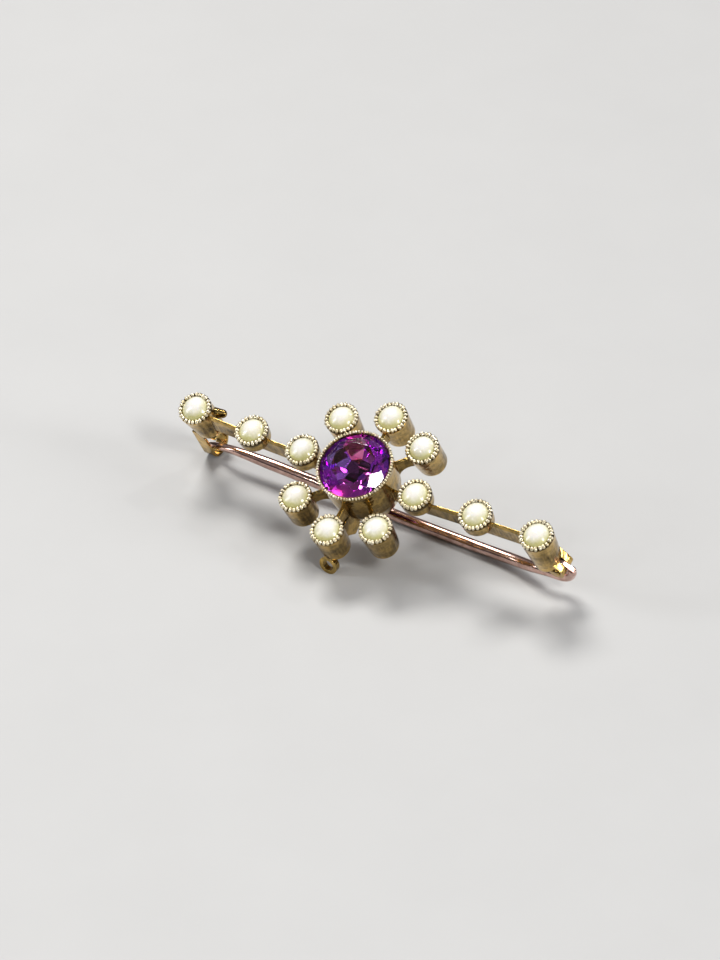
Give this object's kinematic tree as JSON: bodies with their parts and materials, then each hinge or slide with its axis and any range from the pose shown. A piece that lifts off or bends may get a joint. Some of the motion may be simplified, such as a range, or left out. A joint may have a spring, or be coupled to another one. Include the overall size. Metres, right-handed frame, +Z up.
{
  "type": "bar brooch",
  "caption": "Bar brooch with a round amethyst in a ring of half pearls, pearls along a knife-edge bar, and a hinged pin that closes into a rolled catch.",
  "frame": {"origin": "on the table under the middle of the jewel's box", "axes": "+X along the bar from the catch end to the hinge end, -Y towards the viewer and the front loop, +Z up; the jewel lies on its pin, catch and front loop, with its face leaning 26 degrees towards -Y"},
  "size_m": [0.0428, 0.0159, 0.0118],
  "materials": {
    "gold": "polished yellow gold",
    "rose_gold": "polished rose gold",
    "amethyst": "cut and polished",
    "pearl": "soft pearl lustre"
  },
  "bodies": {
    "jewel": {"frame": "gold", "amethyst": "amethyst", "pearl_ring_1": "pearl", "pearl_ring_2": "pearl", "pearl_ring_3": "pearl", "pearl_ring_4": "pearl", "pearl_ring_5": "pearl", "pearl_ring_6": "pearl", "pearl_ring_7": "pearl", "pearl_ring_8": "pearl", "pearl_left_outer": "pearl", "pearl_left_inner": "pearl", "pearl_right_inner": "pearl", "pearl_right_outer": "pearl", "hinge_rivet": "gold"},
    "pin": {"pin": "rose_gold"}
  },
  "joints": [
    {"name": "pin_hinge", "type": "hinge", "parent": "jewel", "child": "pin", "pos_m": [0.01965, 0.00203, 0.00415], "axis": [0.0054, -0.8988, -0.4383], "range_deg": [0, 60]}
  ]
}
